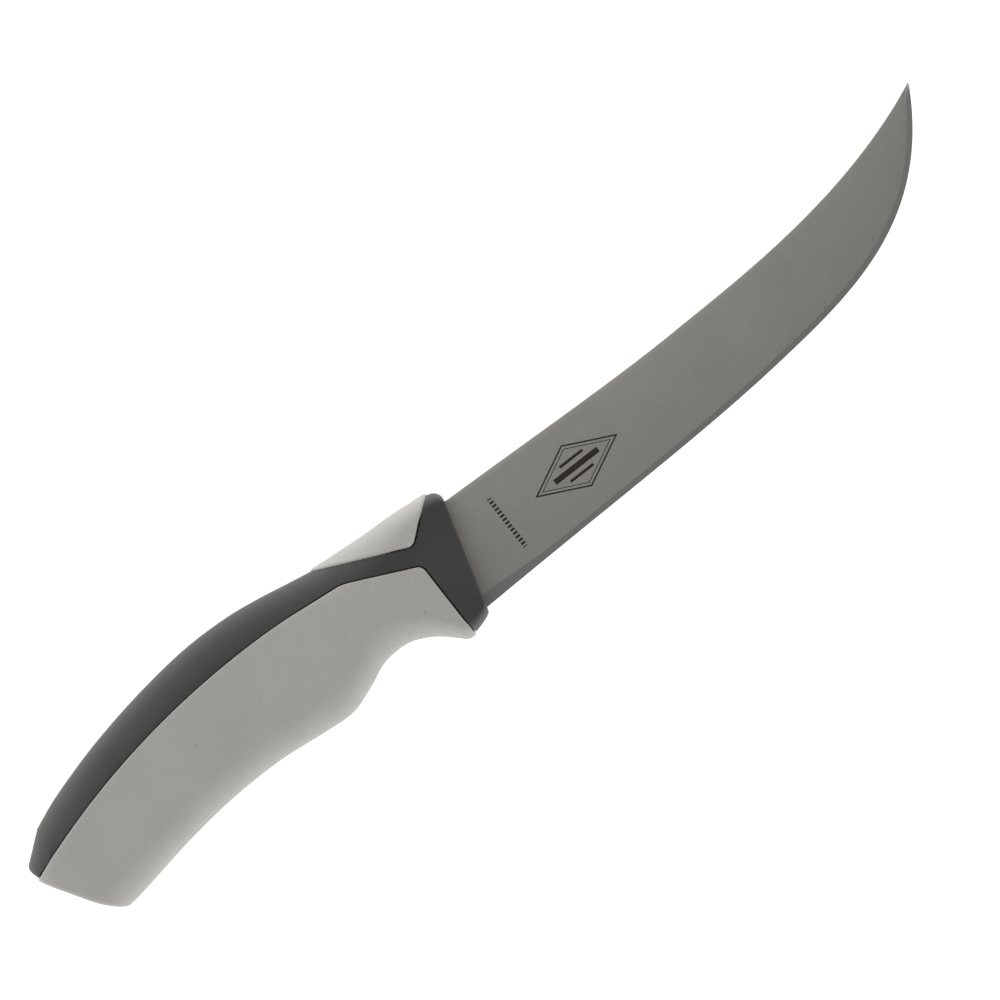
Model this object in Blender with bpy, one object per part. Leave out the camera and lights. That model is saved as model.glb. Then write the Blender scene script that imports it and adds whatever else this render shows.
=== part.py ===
"""Butcher's boning knife: an upswept stainless blade with a hidden tang, a hard dark handle core
moulded round that tang, and two softer pale grip panels moulded over the core.
The knife is drawn with its blade along +X, its spine toward +Y and its sides facing +Z and -Z,
and it is then laid on its side so that the flat of the grip rests at Z = 0."""

import math

import bmesh
import bpy
import numpy as np

# The blade. Its length runs from the collar to the tip, and its height is at the collar. Its sides
# are ground flat from the spine down to a shoulder, and a small bevel makes the cutting edge.
BLADE_LENGTH = 0.150
BLADE_HEIGHT = 0.0257
BLADE_THICKNESS = 0.0020
TIP_THICKNESS = 0.0009
SHOULDER_THICKNESS = 0.0006
EDGE_THICKNESS = 0.0001
EDGE_BEVEL = 0.0013
HEEL_BEVEL = 0.0028
HEEL_BEVEL_RUN = 0.025
HEEL_DEPTH = 0.004
TIP_CUT = 0.0004

# The tang, hidden in the handle. Its rise is above the blade's middle, and its cover is the
# plastic left behind it.
TANG_HEIGHT = 0.0135
TANG_RISE = 0.0040
TANG_TAPER = 0.0015
TANG_CORNER = 0.0030
TANG_COVER = 0.029
TANG_HOLE = 0.0060
TANG_HOLES = 3

# The handle. Its length runs back from the blade's start, and its height is the palm's. Its
# section has flat sides and a rounded back and underside, which are as deep as the roundings here.
HANDLE_LENGTH = 0.125
HANDLE_HEIGHT = 0.0350
HANDLE_WIDTH = 0.0230
COLLAR_WIDTH = 0.0160
FLARE_LENGTH = 0.024
PALM_ROUNDING = 0.0094
COLLAR_ROUNDING = 0.0034
COLLAR_EDGE = 0.0005
COLLAR_ROUND_DEPTH = 0.0020
COLLAR_TOP_CORNER = 0.0024
COLLAR_LOW_CORNER = 0.0005
BUTT_EDGE = 0.0016
BUTT_CORNER = 0.0034

# The panels stand proud of the core by the step.
PANEL_THICKNESS = 0.0028
PANEL_STEP = 0.0005
GAP = 0.0003

# The curves and places below are drawn in millimetres, for a blade of 150 x 25.7 and a handle of
# 125 x 35. These four turn them into metres at the sizes above.
BLADE_ALONG = BLADE_LENGTH / 150
BLADE_UP = BLADE_HEIGHT / 25.7
ALONG = HANDLE_LENGTH / 125
UP = HANDLE_HEIGHT / 35

SPINE_CURVES = (
    ((-4, 12.9), (20, 12.5), (50.2, 10.6), (69.9, 11.06)),
    ((69.9, 11.06), (89.6, 11.52), (121.5, 10.85), (149.9, 23.5)),
)
EDGE_CURVES = (
    ((-10, -13.1), (29.8, -11.7), (60, -12.2), (85, -9.9)),
    ((85, -9.9), (110, -7.6), (134.4, -5.2), (149.9, 23.5)),
)

# Each rib of the handle joins a point on its underside to one on its back. The first four
# make the collar and the guard, so their heights follow the blade's.
COLLAR_RIBS = (
    ((-4.1, -14.9), (4.8, 16.1)),
    ((-7.7, -16.0), (0.5, 17.2)),
    ((-10.4, -16.4), (-3.5, 17.6)),
    ((-11.9, -15.8), (-6.5, 17.9)),
)
GRIP_RIBS = (
    ((-13.4, -14.3), (-9.5, 18.1)),
    ((-16.1, -11.8), (-13.0, 18.2)),
    ((-19.0, -9.9), (-17.0, 18.4)),
    ((-23.4, -8.2), (-22.5, 18.8)),
    ((-30.0, -8.4), (-30.0, 19.5)),
    ((-37.0, -11.2), (-37.5, 20.8)),
    ((-43.5, -13.1), (-45.0, 22.2)),
    ((-52.0, -12.6), (-54.0, 23.3)),
    ((-64.0, -11.4), (-66.0, 23.4)),
    ((-78.0, -11.6), (-81.0, 21.7)),
    ((-91.0, -13.0), (-96.0, 18.8)),
    ((-101.5, -14.8), (-109.5, 15.0)),
    ((-107.2, -15.8), (-116.5, 12.3)),
    ((-109.8, -16.2), (-120.8, 10.3)),
    ((-110.8, -16.3), (-123.6, 8.3)),
    ((-111.3, -16.3), (-125.2, 6.1)),
)
RIB_STEPS = 3
CAP_POINTS = 8

# The blade's rings lean with the collar at the heel, and stand square to the edge from this share.
BLADE_RINGS = 44
SQUARE_SHARE = 0.12

# Where the two panels stop on the handle's side. A band of the core runs between them.
SEAM = -9.3
BAND_WIDTH = 0.0049
BAND_BEND = -26.6
THUMB_CORNER = (-8.1, 8.9)
THUMB_FRONT = (1.6, 17.1)
THUMB_BACK = (-30.4, 19.4)
BELLY_CURVE = ((-63, 17.2), (-98, 12.2), (-130, -0.9))
CORNER_RADIUS = 0.0022
BEND_RADIUS = 0.010

REACH = 0.040


def clear():
    for thing in list(bpy.data.objects):
        bpy.data.objects.remove(thing)


def material(name, colour, roughness, metallic):
    made = bpy.data.materials.new(name)
    made.use_nodes = True
    surface = made.node_tree.nodes["Principled BSDF"]
    surface.inputs["Base Color"].default_value = (*colour, 1)
    surface.inputs["Roughness"].default_value = roughness
    surface.inputs["Metallic"].default_value = metallic
    made.diffuse_color = (*colour, 1)
    return made


def bezier(corners, count):
    """Points along one cubic Bezier curve."""
    p0, p1, p2, p3 = (np.array(corner, float) for corner in corners)
    t = np.linspace(0, 1, count)[:, None]
    return (1 - t) ** 3 * p0 + 3 * (1 - t) ** 2 * t * p1 + 3 * (1 - t) * t**2 * p2 + t**3 * p3


def spline(keys, steps):
    """Rows through all the keys on a Catmull-Rom curve, with so many steps between two keys."""
    keys = np.array(keys, float)
    ends = np.vstack([2 * keys[0] - keys[1], keys, 2 * keys[-1] - keys[-2]])
    rows = []
    for i in range(len(keys) - 1):
        a, b, c, d = ends[i : i + 4]
        for t in np.arange(steps) / steps:
            rows.append(
                b
                + 0.5 * t * (c - a)
                + t**2 * (a - 2.5 * b + 2 * c - 0.5 * d)
                + 0.5 * t**3 * (3 * b - a - 3 * c + d)
            )
    rows.append(keys[-1])
    return np.array(rows)


def object_of(name, bm):
    """Closes the edit mesh into a new object with its faces outward."""
    bmesh.ops.recalc_face_normals(bm, faces=bm.faces)
    mesh = bpy.data.meshes.new(name)
    bm.to_mesh(mesh)
    bm.free()
    made = bpy.data.objects.new(name, mesh)
    bpy.context.scene.collection.objects.link(made)
    return made


def loft(name, rings):
    """A closed body drawn out from ring to ring, all with the same number of points."""
    bm = bmesh.new()
    loop = bmesh.ops.create_circle(bm, segments=len(rings[0]), radius=1)["verts"]
    edges = list(bm.edges)
    for number, ring_places in enumerate(rings):
        if number:
            drawn = bmesh.ops.extrude_edge_only(bm, edges=edges)["geom"]
            fresh = {item for item in drawn if isinstance(item, bmesh.types.BMVert)}
            loop = [
                next(edge.other_vert(old) for edge in old.link_edges if edge.other_vert(old) in fresh)
                for old in loop
            ]
            edges = [
                item
                for item in drawn
                if isinstance(item, bmesh.types.BMEdge) and set(item.verts) <= fresh
            ]
        for vertex, place in zip(loop, ring_places):
            vertex.co = place
    rims = [edge for edge in bm.edges if len(edge.link_faces) == 1]
    bmesh.ops.holes_fill(bm, edges=rims, sides=0)
    return object_of(name, bm)


def plate(name, outline, low, high):
    """An outline in X and Y made into a slab from low to high along Z."""
    bm = bmesh.new()
    loop = bmesh.ops.create_circle(bm, cap_ends=True, segments=len(outline), radius=1)["verts"]
    for vertex, (x, y) in zip(loop, outline):
        vertex.co = (x, y, low)
    raised = bmesh.ops.extrude_face_region(bm, geom=list(bm.faces))["geom"]
    for item in raised:
        if isinstance(item, bmesh.types.BMVert):
            item.co.z = high
    return object_of(name, bm)


def rod(name, x, y, radius, reach):
    """A round rod through the handle from side to side."""
    bm = bmesh.new()
    bmesh.ops.create_cone(
        bm, cap_ends=True, segments=24, radius1=radius, radius2=radius, depth=2 * reach
    )
    bmesh.ops.translate(bm, verts=bm.verts, vec=(x, y, 0))
    return object_of(name, bm)


def combine(body, operation, tool):
    """Applies one exact Boolean and removes its tool."""
    modifier = body.modifiers.new(operation.title(), "BOOLEAN")
    modifier.solver = "EXACT"
    modifier.operation = operation
    modifier.object = tool
    bpy.context.view_layer.update()
    result = bpy.data.meshes.new_from_object(
        body.evaluated_get(bpy.context.evaluated_depsgraph_get())
    )
    body.modifiers.clear()
    body.data = result
    bpy.data.objects.remove(tool)


def filleted(corners, radii, count):
    """An open outline whose inner corners are rounded to the given radii."""
    corners = [np.array(corner, float) for corner in corners]
    points = [corners[0]]
    for before, corner, after, radius in zip(corners, corners[1:], corners[2:], radii):
        one = (before - corner) / np.linalg.norm(before - corner)
        two = (after - corner) / np.linalg.norm(after - corner)
        half = 0.5 * math.acos(float(one @ two))
        start = corner + one * radius / math.tan(half)
        end = corner + two * radius / math.tan(half)
        for t in np.linspace(0, 1, count):
            points.append((1 - t) ** 2 * start + 2 * t * (1 - t) * corner + t**2 * end)
    points.append(corners[-1])
    return np.array(points)


def beside(line, distance):
    """The open line moved sideways, to the left of its direction."""
    steps = np.diff(line, axis=0)
    steps /= np.linalg.norm(steps, axis=1)[:, None]
    sides = np.column_stack([-steps[:, 1], steps[:, 0]])
    before = np.vstack([sides[:1], sides])
    after = np.vstack([sides, sides[-1:]])
    return line + distance * (before + after) / (1 + (before * after).sum(axis=1))[:, None]


def handle_ribs():
    """The ribs at the sizes above, as rows of lower x, lower y, upper x and upper y in metres."""
    rows = []
    for lower, upper in COLLAR_RIBS:
        rows.append((lower[0] * ALONG, lower[1] * BLADE_UP, upper[0] * ALONG, upper[1] * BLADE_UP))
    for lower, upper in GRIP_RIBS:
        rows.append((lower[0] * ALONG, lower[1] * UP, upper[0] * ALONG, upper[1] * UP))
    return spline(np.array(rows), RIB_STEPS)


def collar_front(y):
    """How far along the collar's front stands at a height."""
    lower, upper = COLLAR_RIBS[0]
    low = np.array([lower[0] * ALONG, lower[1] * BLADE_UP])
    high = np.array([upper[0] * ALONG, upper[1] * BLADE_UP])
    return low[0] + (y - low[1]) * (high[0] - low[0]) / (high[1] - low[1])


def ring(rib, inset, end, forward=0.0):
    """One ring of the handle's skin: two flat sides joined by elliptic caps.
    inset is the depth below the skin, and end the further rounding at the top, bottom and side."""
    lower, upper = rib[:2], rib[2:]
    height = np.linalg.norm(upper - lower)
    up = (upper - lower) / height
    ahead = np.array([up[1], -up[0]])
    middle = (rib[0] + rib[2]) / 2
    flare = min(max(-middle / FLARE_LENGTH, 0), 1)
    flare = flare**2 * (3 - 2 * flare)
    width = (COLLAR_WIDTH + (HANDLE_WIDTH - COLLAR_WIDTH) * flare) / 2
    cap = COLLAR_ROUNDING + (PALM_ROUNDING - COLLAR_ROUNDING) * flare
    cap = min(cap, 0.45 * height)
    cap_top = max(cap - inset - end[0], 0.4 * cap)
    cap_bottom = max(cap - inset - end[1], 0.4 * cap)
    half = width - inset - end[2]
    top = height - inset - end[0]
    bottom = inset + end[1]
    turn = np.linspace(0, math.pi / 2, CAP_POINTS)
    right = [(half * math.cos(a), top - cap_top * (1 - math.sin(a))) for a in turn]
    left = [(-z, v) for z, v in right[-2::-1]]
    under = [(-half * math.cos(a), bottom + cap_bottom * (1 - math.sin(a))) for a in turn]
    under_right = [(-z, v) for z, v in under[-2::-1]]
    places = []
    for z, v in right + left + under + under_right:
        x, y = lower + up * v + ahead * forward
        places.append((x, y, z))
    return places


def clear_of(plane_rib, rib):
    """How far back of one rib's plane another stands, by whichever of its ends is nearer."""
    up = plane_rib[2:] - plane_rib[:2]
    ahead = np.array([up[1], -up[0]]) / np.linalg.norm(up)
    lower = (plane_rib[:2] - rib[:2]) @ ahead
    upper = (plane_rib[2:] - rib[2:]) @ ahead
    return min(lower, upper, key=abs)


def skin(name, inset, front_reach):
    """The handle's whole body, lowered by inset all round. front_reach draws it out in front."""
    ribs = handle_ribs()
    rings = []
    if front_reach:
        rings.append(ring(ribs[0], inset, (0, 0, 0), front_reach))
    inner = [rib for rib in ribs if clear_of(ribs[0], rib) > 1.2 * COLLAR_ROUND_DEPTH]
    back_step = (inner[0] - ribs[0]) / clear_of(ribs[0], inner[0])
    for angle in np.radians((90, 60, 30, 0)):
        share = 0 if front_reach else 1 - math.cos(angle)
        end = (COLLAR_TOP_CORNER * share, COLLAR_LOW_CORNER * share, COLLAR_EDGE * share)
        back = COLLAR_ROUND_DEPTH * (1 - math.sin(angle))
        rings.append(ring(ribs[0] + back_step * back, inset, end))
    for rib in inner[:-1]:
        if -clear_of(ribs[-1], rib) > 1.2 * inset:
            rings.append(ring(rib, inset, (0, 0, 0)))
    for angle in np.radians((0, 30, 60, 90)):
        share = 1 - math.cos(angle)
        end = (BUTT_EDGE * share, BUTT_CORNER * share, BUTT_EDGE * share)
        rings.append(ring(ribs[-1], inset, end, inset - BUTT_EDGE * math.sin(angle)))
    return loft(name, rings)


def belly_line():
    """Where the belly panel stops on the side: up its front, round the corner and back."""
    across = np.array([THUMB_BACK[0] * ALONG, THUMB_BACK[1] * BLADE_UP])
    corner = np.array([THUMB_CORNER[0] * ALONG, THUMB_CORNER[1] * BLADE_UP])
    band = beside(np.array([corner, across]), BAND_WIDTH)
    slope = (band[1, 1] - band[0, 1]) / (band[1, 0] - band[0, 0])
    seam = SEAM * ALONG
    bend = BAND_BEND * ALONG
    turn = np.array([seam, band[0, 1] + (seam - band[0, 0]) * slope])
    knee = np.array([bend, band[0, 1] + (bend - band[0, 0]) * slope])
    rear = np.array(BELLY_CURVE) * (ALONG, UP)
    curve = bezier((knee, *rear), 16)
    corners = [np.array([seam, -REACH]), turn, knee, curve[2]]
    front = filleted(corners, (CORNER_RADIUS, BEND_RADIUS), 6)
    return np.vstack([front, curve[3:]])


def thumb_line():
    """Where the thumb panel stops on the side: from behind its point, round its corner, and up."""
    back, corner, front = (
        np.array([x * ALONG, y * BLADE_UP]) for x, y in (THUMB_BACK, THUMB_CORNER, THUMB_FRONT)
    )
    start = back + 0.4 * (back - corner)
    end = front + 0.6 * (front - corner)
    return filleted([start, corner, end], (CORNER_RADIUS,), 6)


def belly_zone(name, margin):
    """The side of the handle that the belly panel takes, as a slab wider by the margin."""
    line = beside(belly_line(), -margin)
    foot = (line[-1, 0], -REACH)
    return plate(name, np.vstack([line, [foot]]), -REACH, REACH)


def thumb_zone(name, margin):
    """The side of the handle that the thumb panel takes, as a slab wider by the margin."""
    line = beside(thumb_line(), -margin)
    roof = [(line[-1, 0], REACH), (line[0, 0], REACH)]
    return plate(name, np.vstack([line, roof]), -REACH, REACH)


def curve_through(curves):
    """Points along joined curves of the blade, in metres."""
    return np.vstack([bezier(curve, 120) for curve in curves]) * (BLADE_ALONG, BLADE_UP)


def ground_blade(name, margin):
    """The ground blade, from its heel inside the collar to the tip, swollen by margin all round."""
    spine, edge = curve_through(SPINE_CURVES), curve_through(EDGE_CURVES)
    heel_spine = collar_front(spine[0, 1]) - HEEL_DEPTH
    heel_edge = collar_front(edge[0, 1]) - HEEL_DEPTH
    tip = BLADE_LENGTH - TIP_CUT
    rings = []
    for share in 1 - (1 - np.linspace(0, 1, BLADE_RINGS)) ** 1.6:
        x_spine = heel_spine + (tip - heel_spine) * share
        x_edge = heel_edge + (tip - heel_edge) * share
        y_spine = np.interp(x_spine, spine[:, 0], spine[:, 1])
        y_edge = np.interp(x_edge, edge[:, 0], edge[:, 1])
        upright = np.array([x_spine - x_edge, y_spine - y_edge])
        upright /= np.linalg.norm(upright)
        rise = np.interp(x_edge + EDGE_THICKNESS, edge[:, 0], edge[:, 1]) - y_edge
        square = np.array([-rise, EDGE_THICKNESS]) / math.hypot(rise, EDGE_THICKNESS)
        inward = upright + (square - upright) * min(share / SQUARE_SHARE, 1)
        fade = min(max(1 - x_edge / HEEL_BEVEL_RUN, 0), 1)
        bevel = EDGE_BEVEL + (HEEL_BEVEL - EDGE_BEVEL) * fade**2
        bevel = min(bevel, 0.45 * (y_spine - y_edge))
        thick = BLADE_THICKNESS + (TIP_THICKNESS - BLADE_THICKNESS) * share
        shoulder = np.array([x_edge, y_edge]) + inward * bevel
        half = thick / 2 + margin
        shoulder_half = min(SHOULDER_THICKNESS, 0.8 * thick) / 2 + margin
        edge_half = EDGE_THICKNESS / 2 + margin
        rings.append(
            [
                (x_spine, y_spine + margin, half),
                (*shoulder, shoulder_half),
                (x_edge, y_edge - margin, edge_half),
                (x_edge, y_edge - margin, -edge_half),
                (*shoulder, -shoulder_half),
                (x_spine, y_spine + margin, -half),
            ]
        )
    if margin:
        rings.insert(0, [(x - margin, y, z) for x, y, z in rings[0]])
    return loft(name, rings)


def tang_end():
    """How far along the tang stops."""
    return -HANDLE_LENGTH + TANG_COVER


def tang_plate(name, margin):
    """The tang, from inside the blade's heel to its rounded end, swollen by margin all round."""
    end = tang_end() - margin
    half = TANG_HEIGHT / 2 + margin
    far_half = half - TANG_TAPER
    top, bottom = TANG_RISE + half, TANG_RISE - half
    depth = HEEL_DEPTH / 2 - margin
    ends = filleted(
        [
            (collar_front(top) - depth, top),
            (end, TANG_RISE + far_half),
            (end, TANG_RISE - far_half),
            (collar_front(bottom) - depth, bottom),
        ],
        (TANG_CORNER, TANG_CORNER),
        6,
    )
    half_thick = BLADE_THICKNESS / 2 + margin
    return plate(name, ends, -half_thick, half_thick)


def tang_rods(radius):
    """Rods where the tang's holes are, evenly spaced along it."""
    start = collar_front(TANG_RISE) - HEEL_DEPTH
    step = (tang_end() - start) / (TANG_HOLES + 0.5)
    return [
        rod(f"Tang hole {i + 1}", start + step * (i + 0.75), TANG_RISE, radius, BLADE_THICKNESS)
        for i in range(TANG_HOLES)
    ]


def finish(body, surface, parent):
    """Shades a piece smooth across its rounds and crisp at its corners, and hangs it on the parent."""
    body.data.materials.clear()
    body.data.materials.append(surface)
    body.data.shade_smooth()
    body.data.set_sharp_from_angle(angle=math.radians(28))
    body.parent = parent


def build():
    clear()
    steel = material("Satin stainless steel", (0.50, 0.49, 0.47), 0.34, 1.0)
    hard = material("Dark grey hard plastic", (0.055, 0.060, 0.058), 0.50, 0.0)
    soft = material("Off-white soft plastic", (0.72, 0.72, 0.68), 0.62, 0.0)
    soft_thumb = material("Off-white thumb plastic", (0.74, 0.74, 0.70), 0.62, 0.0)

    blade = ground_blade("blade", 0)
    combine(blade, "UNION", tang_plate("Tang", 0))
    for hole in tang_rods(TANG_HOLE / 2):
        combine(blade, "DIFFERENCE", hole)

    belly = skin("belly_grip", 0, 0)
    combine(belly, "INTERSECT", belly_zone("Belly zone", 0))
    combine(belly, "DIFFERENCE", skin("Belly bed", PANEL_THICKNESS, REACH / 10))

    thumb = skin("thumb_panel", 0, 0)
    combine(thumb, "INTERSECT", thumb_zone("Thumb zone", 0))
    combine(thumb, "DIFFERENCE", skin("Thumb bed", PANEL_THICKNESS, REACH / 10))

    core = skin("core", PANEL_STEP, 0)
    for zone in (belly_zone("Belly recess", GAP), thumb_zone("Thumb recess", GAP)):
        combine(zone, "DIFFERENCE", skin("Recess bed", PANEL_THICKNESS + GAP, REACH / 10))
        combine(core, "DIFFERENCE", zone)
    slot = tang_plate("Tang slot", GAP)
    for peg in tang_rods(TANG_HOLE / 2 - GAP):
        combine(slot, "DIFFERENCE", peg)
    combine(core, "DIFFERENCE", slot)
    combine(core, "DIFFERENCE", ground_blade("Blade slot", GAP))

    lay = bpy.data.objects.new("knife", None)
    bpy.context.scene.collection.objects.link(lay)
    spots = np.array([vertex.co for piece in (blade, belly, thumb, core) for vertex in piece.data.vertices])
    low, high = spots.min(axis=0), spots.max(axis=0)
    lay.location = (-(low[0] + high[0]) / 2, -(low[1] + high[1]) / 2, -low[2])
    for piece, surface in ((blade, steel), (belly, soft), (thumb, soft_thumb), (core, hard)):
        finish(piece, surface, lay)


build()
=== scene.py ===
"""Butcher's boning knife, lying on its side: a satin ground steel blade, a hard dark grey handle
core moulded round its tang, and two softer off-white grip panels moulded over the core."""

import math

import bmesh
import bpy
import numpy as np
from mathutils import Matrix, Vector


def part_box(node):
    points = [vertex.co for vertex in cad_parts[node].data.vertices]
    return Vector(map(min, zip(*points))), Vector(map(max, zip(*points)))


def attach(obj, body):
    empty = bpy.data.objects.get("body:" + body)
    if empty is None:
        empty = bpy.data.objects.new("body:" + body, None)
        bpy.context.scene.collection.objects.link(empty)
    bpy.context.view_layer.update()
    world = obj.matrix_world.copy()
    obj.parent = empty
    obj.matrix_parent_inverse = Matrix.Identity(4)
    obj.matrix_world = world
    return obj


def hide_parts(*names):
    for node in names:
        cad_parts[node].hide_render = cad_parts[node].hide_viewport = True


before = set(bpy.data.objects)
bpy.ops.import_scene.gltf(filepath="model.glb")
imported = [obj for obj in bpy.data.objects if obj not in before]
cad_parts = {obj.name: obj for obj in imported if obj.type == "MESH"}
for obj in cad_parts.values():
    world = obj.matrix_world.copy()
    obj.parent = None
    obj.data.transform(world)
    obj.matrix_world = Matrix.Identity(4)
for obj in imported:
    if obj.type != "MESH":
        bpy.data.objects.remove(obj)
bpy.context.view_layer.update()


# The blade: one piece of 2 mm stainless steel, ground flat on both sides from the spine down to a
# thin shoulder, with a narrow whetted bevel. The handle's moulding holds its heel and its tang.
# Sizes are in millimetres from where the blade leaves the collar, X to the tip and Y to the spine.
SPINE = (
    ((-4, 12.9), (20, 12.5), (50.2, 10.6), (69.9, 11.06)),
    ((69.9, 11.06), (89.6, 11.52), (121.5, 10.85), (149.9, 23.5)),
)
EDGE = (
    ((-10, -13.1), (29.8, -11.7), (60, -12.2), (85, -9.9)),
    ((85, -9.9), (110, -7.6), (134.4, -5.2), (149.9, 23.5)),
)
TIP = 149.6
HEEL_DEPTH = 4.0
SPINE_THICK = 2.0
TIP_THICK = 0.9
SHOULDER_THICK = 0.6
EDGE_THICK = 0.1
EDGE_BEVEL = 1.3
HEEL_BEVEL = 2.8
HEEL_BEVEL_RUN = 25.0
SQUARE_SHARE = 0.12
SPINE_ROUND = 0.22
TANG_START = -8.0
TANG_END = -96.0
TANG_TOP = 10.75
TANG_LOW = -2.75
TANG_CORNER = ((0, 4.0), (1.0, 2.4), (3.0, 1.5))

# The bevel, shoulder and rounding stay within these shares of the section they are on.
BEVEL_LIMIT = 0.45
SHOULDER_LIMIT = 0.8
HEIGHT_LIMIT = 0.2
HALF_LIMIT = 0.5

# How finely the blade is drawn: its curves, its rings, which crowd towards the tip, and the points
# round half a section, on the spine's rounding, down the side and down the bevel.
CURVE_POINTS = 400
SLOPE_STEP = 0.1
BLADE_RINGS = 360
TIP_CROWDING = 1.6
SHARP_STEEL = 35
SPINE_POINTS = 5
SIDE_STOPS = (0.06, 0.3, 0.6, 0.9, 0.992, 1.0)
BEVEL_STOPS = (0.06, 0.5, 1.0)

# The ribs of the handle, as lower and upper ends in the same millimetres. Each crosses its side.
RIBS = (
    ((-4.1, -14.9), (4.8, 16.1)),
    ((-7.7, -16.0), (0.5, 17.2)),
    ((-10.4, -16.4), (-3.5, 17.6)),
    ((-11.9, -15.8), (-6.5, 17.9)),
    ((-13.4, -14.3), (-9.5, 18.1)),
    ((-16.1, -11.8), (-13.0, 18.2)),
    ((-19.0, -9.9), (-17.0, 18.4)),
    ((-23.4, -8.2), (-22.5, 18.8)),
    ((-30.0, -8.4), (-30.0, 19.5)),
    ((-37.0, -11.2), (-37.5, 20.8)),
    ((-43.5, -13.1), (-45.0, 22.2)),
    ((-52.0, -12.6), (-54.0, 23.3)),
    ((-64.0, -11.4), (-66.0, 23.4)),
    ((-78.0, -11.6), (-81.0, 21.7)),
    ((-91.0, -13.0), (-96.0, 18.8)),
    ((-101.5, -14.8), (-109.5, 15.0)),
    ((-107.2, -15.8), (-116.5, 12.3)),
    ((-109.8, -16.2), (-120.8, 10.3)),
    ((-110.8, -16.3), (-123.6, 8.3)),
    ((-111.3, -16.3), (-125.2, 6.1)),
)


def curve(corners, count):
    """Points along one cubic Bezier curve."""
    p0, p1, p2, p3 = (np.array(corner, float) for corner in corners)
    t = np.linspace(0, 1, count)[:, None]
    return (1 - t) ** 3 * p0 + 3 * (1 - t) ** 2 * t * p1 + 3 * (1 - t) * t**2 * p2 + t**3 * p3


def collar_front(y):
    """How far along the collar's leaning front stands at a height."""
    (x0, y0), (x1, y1) = RIBS[0]
    return x0 + (y - y0) * (x1 - x0) / (y1 - y0)


spine = np.vstack([curve(part, CURVE_POINTS) for part in SPINE])
edge = np.vstack([curve(part, CURVE_POINTS) for part in EDGE])
blade_low, blade_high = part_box("blade")

# The frame's place for the point that the sizes are measured from, found from the blade's tip.
HOME = np.array(
    (
        blade_high.x - TIP / 1000,
        blade_high.y - np.interp(TIP, spine[:, 0], spine[:, 1]) / 1000,
        (blade_low.z + blade_high.z) / 2,
    )
)


def sheet(rows, **columns):
    """A grid in an edit mesh, its points moved to rows of places in millimetres from HOME.
    Each further name is an attribute of the points, with its value in each column."""
    down, across = rows.shape[0] - 1, rows.shape[1] - 1
    bm = bmesh.new()
    bmesh.ops.create_grid(bm, x_segments=across, y_segments=down, size=1)
    layers = [(bm.verts.layers.float.new(name), values) for name, values in columns.items()]
    for vertex in bm.verts:
        column = round((vertex.co.x + 1) / 2 * across)
        row = round((vertex.co.y + 1) / 2 * down)
        vertex.co = rows[row, column] / 1000 + HOME
        for layer, values in layers:
            vertex[layer] = float(values[column])
    return bm


# Points nearer to each other than this, in metres, are joined.
SAME_PLACE = 1e-7


def piece_of(name, bm, surface):
    """Turns an edit mesh into a smooth shaded piece of the knife with its material."""
    mesh = bpy.data.meshes.new(name)
    bm.to_mesh(mesh)
    bm.free()
    mesh.materials.append(surface)
    mesh.shade_smooth()
    made = bpy.data.objects.new(name, mesh)
    bpy.context.scene.collection.objects.link(made)
    return made


def linear(code):
    """An sRGB hex colour as the linear values that a shader takes."""
    values = [int(code[i : i + 2], 16) / 255 for i in (1, 3, 5)]
    return (*[v / 12.92 if v <= 0.04045 else ((v + 0.055) / 1.055) ** 2.4 for v in values], 1)


def add(tree, kind, settings, links):
    """Adds a node, sets its own settings or its inputs' values, and links outputs to its inputs."""
    made = tree.nodes.new(kind)
    for name, value in settings.items():
        if isinstance(name, str) and hasattr(made, name):
            setattr(made, name, value)
        else:
            made.inputs[name].default_value = value
    for name, output in links.items():
        tree.links.new(output, made.inputs[name])
    return made


def blade_rings():
    """The blade's cross sections from heel to tip, each a closed ring of places."""
    heel_spine = collar_front(spine[0, 1]) - HEEL_DEPTH
    heel_edge = collar_front(edge[0, 1]) - HEEL_DEPTH
    rings = []
    for share in 1 - (1 - np.linspace(0, 1, BLADE_RINGS)) ** TIP_CROWDING:
        x_spine = heel_spine + (TIP - heel_spine) * share
        x_edge = heel_edge + (TIP - heel_edge) * share
        back = np.array([x_spine, np.interp(x_spine, spine[:, 0], spine[:, 1])])
        low = np.array([x_edge, np.interp(x_edge, edge[:, 0], edge[:, 1])])
        height = np.linalg.norm(back - low)
        upright = (back - low) / height
        rise = np.interp(x_edge + SLOPE_STEP, edge[:, 0], edge[:, 1]) - low[1]
        square = np.array([-rise, SLOPE_STEP]) / math.hypot(rise, SLOPE_STEP)
        inward = upright + (square - upright) * min(share / SQUARE_SHARE, 1)
        fade = min(max(1 - x_edge / HEEL_BEVEL_RUN, 0), 1)
        bevel = EDGE_BEVEL + (HEEL_BEVEL - EDGE_BEVEL) * fade**2
        bevel = min(bevel, BEVEL_LIMIT * (back[1] - low[1]))
        half = (SPINE_THICK + (TIP_THICK - SPINE_THICK) * share) / 2
        shoulder = low + inward * bevel
        shoulder_half = min(SHOULDER_THICK / 2, SHOULDER_LIMIT * half)
        round_off = min(SPINE_ROUND, HEIGHT_LIMIT * height, HALF_LIMIT * half)
        side = []
        for turn in np.linspace(math.pi / 2, 0, SPINE_POINTS):
            down = round_off * (1 - math.sin(turn))
            side.append((*(back - upright * down), half - round_off * (1 - math.cos(turn))))
        start = np.array(side[-1])
        end = np.array((*shoulder, shoulder_half))
        for along in SIDE_STOPS:
            side.append(start + (end - start) * along)
        rim = np.array((*low, EDGE_THICK / 2))
        for along in BEVEL_STOPS:
            side.append(end + (rim - end) * along)
        side = np.array(side)
        far = side[::-1] * (1, 1, -1)
        rings.append(np.vstack([side, far, side[:1]]))
    return np.array(rings)


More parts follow.
